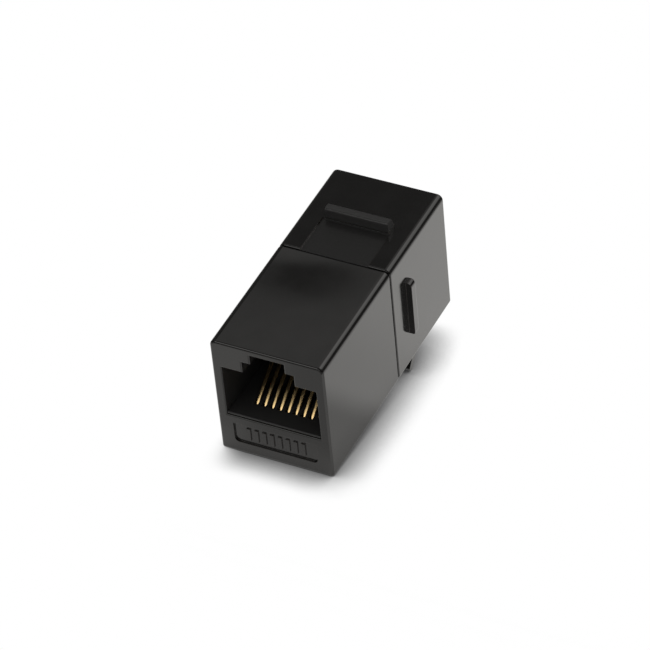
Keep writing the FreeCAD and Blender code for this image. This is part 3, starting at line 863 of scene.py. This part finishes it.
@dataclass
class Inside:
    """The carriers and the board between them."""

    colour: Colour = (0.0135, 0.0130, 0.0125)
    # Lighter grey for the edges: a painted edge highlight.
    edge_highlight_colour: Colour = (0.021, 0.020, 0.019)

    def build(self) -> None:
        """Give the carriers and the board their finish."""
        plastic = MouldedPlastic("carrier_plastic", self.colour, self.edge_highlight_colour, roughness=0.45,
                                 rough_spread=0.08, grain_depth=2e-6).build()
        for node in ("front_carrier", "rear_carrier"):
            dress(node, plastic)
            LOG.info("piece %s", node)
        first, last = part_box("contact_front_1"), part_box(f"contact_front_{CONTACT_COUNT}")
        pitch = (last[0].x - first[0].x) / (CONTACT_COUNT - 1)
        half = SpringWires.thickness / 2
        rows = (first[0].z + half, last[0].z + half)
        board = BoardLaminate(pitch, (first[0].x + first[1].x) / 2, rows)
        dress("circuit_board", board.build())
        LOG.info("piece circuit_board")


# ---------------------------------------------------------------- studio


@dataclass(frozen=True)
class SoftBox:
    """A lit card round the object, seen only in its reflections."""

    toward: tuple[float, float, float]
    core_deg: float
    edge_deg: float
    strength: float


@dataclass(frozen=True)
class TablePool:
    """Stretch of the table that is brighter in reflections, in millimetres.

    Each span runs from where the light starts to where it is full, and none means everywhere.
    """

    strength: float
    along_x: tuple[float, float] | None = None
    along_y: tuple[float, float] | None = None


@dataclass
class Studio:
    """Pale table, soft light and camera."""

    tilt_deg: float = 8.0
    table_back: float = 90 * MM
    table_front: float = 14 * MM
    table_reach: float = 56 * MM
    table_side: float = 70 * MM
    table_columns: int = 41
    front_rows: int = 24
    back_rows: int = 60
    roll_off: float = 0.012
    white: float = 0.98
    daylight: float = 1.03
    contact_reach: float = 5.0 * MM
    contact_power: float = 2.3
    contact_fade: tuple[float, float] = (-9.0 * MM, -4.0 * MM)
    open_gain: float = 1.04
    tint: Colour = (1.0, 0.985, 0.955)
    table_sheen: float = 0.22
    pools: tuple[TablePool, ...] = (
        TablePool(0.30, along_y=(1.0, -0.5)),
        TablePool(0.26, (8.0, 6.5), (-4.5, -0.6)),
        TablePool(0.22, (-2.0, -12.0), (6.0, -3.0)),
        TablePool(0.33, along_x=(6.0, 8.0)),
        TablePool(0.38, (-6.0, 6.0), (10.5, 17.0)),
        TablePool(0.17, (-6.0, 6.0), (18.0, 36.0)),
    )
    room: float = 0.02
    room_behind: float = 0.06
    overhead: tuple[float, float, float] = (41.0, 44.0, 0.34)
    behind_from: tuple[float, float] = (-0.2, 0.2)
    boxes: tuple[SoftBox, ...] = (
        SoftBox((-0.37, -0.78, 0.61), 10.0, 18.0, 1.5),
        SoftBox((0.10, -0.93, 0.35), 8.0, 16.0, 1.0),
        SoftBox((0.00, 0.92, 0.38), 8.0, 15.0, 1.0),
        SoftBox((0.39, 0.65, 0.65), 12.0, 24.0, 1.1),
    )
    horizon_dark: tuple[float, float] = (-1.0, 13.0)
    horizon_blur: float = 0.05
    far_table: float = 0.25
    lens: float = 218.89
    camera_at: tuple[float, float, float] = (172.673 * MM, -288.807 * MM, 308.604 * MM)
    azimuth_deg: float = 29.658
    elevation_deg: float = 41.496
    roll_deg: float = -5.911

    def build(self) -> None:
        """Make the table, the light and the camera."""
        self.table()
        self.light()
        self.camera()
        LOG.info("studio ready")

    def table(self) -> None:
        """Make the white table, which leans as the part does on its toe and its latch.

        The surface is flat: its height is minus the tangent of the lean times the distance behind
        the toe.  In front of the part it rolls away downward, with the square of the distance.
        """
        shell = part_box("front_shell")[0]
        across = np.linspace(-self.table_side, self.table_side, self.table_columns)
        rolled = np.linspace(-self.table_reach, -self.table_front, self.front_rows)
        flat = np.linspace(-self.table_front, self.table_back, self.back_rows)
        along = np.concatenate([rolled, flat[1:]])
        x, y = np.meshgrid(across, along)
        beyond = np.clip(-self.table_front - y, 0.0, None)
        z = shell.z - math.tan(math.radians(self.tilt_deg)) * y - beyond ** 2 / self.roll_off
        mesh = grid_mesh("table", np.stack([x, y, z], axis=-1), wrap=False, caps=False)
        add_object("table", mesh, self.table_finish())

    def table_finish(self) -> bpy.types.Material:
        """Make the table matt white under light, and clear white with a contact shadow when seen.

        The contact shadow is the open share of the sky within a few millimetres, raised to a power
        that falls to none on the left.  In reflections the table is dimmer, has its brighter pools,
        and darkens with the root of the open share.

        Returns:
            The table's material.
        """
        material = bpy.data.materials.new("white_table")
        material.use_nodes = True
        graph = Graph(material.node_tree)
        matt = graph.node("BsdfDiffuse", {"Color": (self.white,) * 3})
        near = graph.node("AmbientOcclusion", {"Distance": self.contact_reach}, samples=16)
        gained = graph.maths("MULTIPLY", near.outputs["AO"], self.open_gain)
        open_share = graph.maths("MINIMUM", gained, 1.0)
        across, along, _ = graph.axes(graph.place())
        power = graph.maths("MULTIPLY", graph.fade(across, *self.contact_fade), self.contact_power)
        contact = graph.maths("POWER", open_share, power)
        seen = graph.node("Emission", {"Color": (1.0, 1.0, 1.0), "Strength": contact})
        glow: Value = self.table_sheen
        for pool in self.pools:
            share: Value = pool.strength
            for place, span in ((across, pool.along_x), (along, pool.along_y)):
                if span:
                    within = graph.fade(place, span[0] * MM, span[1] * MM)
                    share = graph.maths("MULTIPLY", within, share)
            glow = graph.maths("ADD", glow, share)
        shaded = graph.maths("MULTIPLY", glow, graph.maths("SQRT", open_share))
        mirrored = graph.node("Emission", {"Color": self.tint, "Strength": shaded})
        path = graph.node("LightPath").outputs
        first = graph.node("MixShader", {0: path["Is Glossy Ray"], 1: matt.outputs[0],
                                         2: mirrored.outputs[0]})
        shown = graph.node("MixShader", {0: path["Is Camera Ray"], 1: first.outputs[0],
                                         2: seen.outputs[0]})
        graph.node("OutputMaterial", {"Surface": shown.outputs[0]})
        return material

    def light(self) -> None:
        """Even white light, with lit cards and a dark horizon that only reflections see."""
        world = bpy.data.worlds.new("studio")
        world.use_nodes = True
        bpy.context.scene.world = world
        graph = Graph(world.node_tree)
        toward = graph.node("TexCoord").outputs["Generated"]
        _, behind, up = graph.axes(toward)
        low, high, strength = self.overhead
        rear = graph.ramp(up, math.sin(math.radians(low)), math.sin(math.radians(high)),
                          self.room_behind, self.room_behind + strength)
        total = graph.maths("MULTIPLY_ADD", rear, graph.ramp(behind, *self.behind_from), self.room)
        for box in self.boxes:
            axis = tuple(Vector(box.toward).normalized())
            facing = graph.vector("DOT_PRODUCT", toward, axis).outputs["Value"]
            lit = graph.ramp(facing, math.cos(math.radians(box.edge_deg)),
                             math.cos(math.radians(box.core_deg)), 0.0, box.strength)
            total = graph.maths("ADD", total, lit)
        low, high = (math.sin(math.radians(angle)) for angle in self.horizon_dark)
        clear = graph.ramp(up, low, high)
        below = graph.ramp(up, low - self.horizon_blur, low, self.far_table, 0.0)
        seen = graph.maths("MULTIPLY_ADD", total, clear, below)
        path = graph.node("LightPath").outputs
        cards = graph.node("Background", {"Color": self.tint, "Strength": seen})
        plain = graph.node("Background", {"Color": (1.0, 1.0, 1.0), "Strength": self.daylight})
        white = graph.node("Background", {"Color": (1.0, 1.0, 1.0), "Strength": 1.0})
        lit = graph.node("MixShader", {0: path["Is Glossy Ray"], 1: plain.outputs[0],
                                       2: cards.outputs[0]})
        shown = graph.node("MixShader", {0: path["Is Camera Ray"], 1: lit.outputs[0],
                                         2: white.outputs[0]})
        graph.node("OutputWorld", {"Surface": shown.outputs[0]})

    def camera(self) -> None:
        """Long lens from the front right and above, turned a little about its own axis."""
        data = bpy.data.cameras.new("camera")
        data.lens = self.lens
        data.clip_start, data.clip_end = 0.01, 10.0
        camera = bpy.data.objects.new("camera", data)
        azimuth, elevation = math.radians(self.azimuth_deg), math.radians(self.elevation_deg)
        back = Vector((math.sin(azimuth) * math.cos(elevation),
                       -math.cos(azimuth) * math.cos(elevation), math.sin(elevation)))
        roll = Matrix.Rotation(math.radians(self.roll_deg), 3, "Z").to_quaternion()
        turned = back.to_track_quat("Z", "Y") @ roll
        camera.matrix_world = Matrix.Translation(self.camera_at) @ turned.to_matrix().to_4x4()
        bpy.context.scene.collection.objects.link(camera)
        bpy.context.scene.camera = camera


def main() -> None:
    """Dress the coupler and set it in its studio."""
    logging.basicConfig(level=logging.INFO, format="%(name)s: %(message)s")
    bpy.context.scene.view_settings.view_transform = "Standard"
    Housing().build()
    Inside().build()
    SpringWires().build()
    Studio().build()


if __name__ == "__main__":
    main()
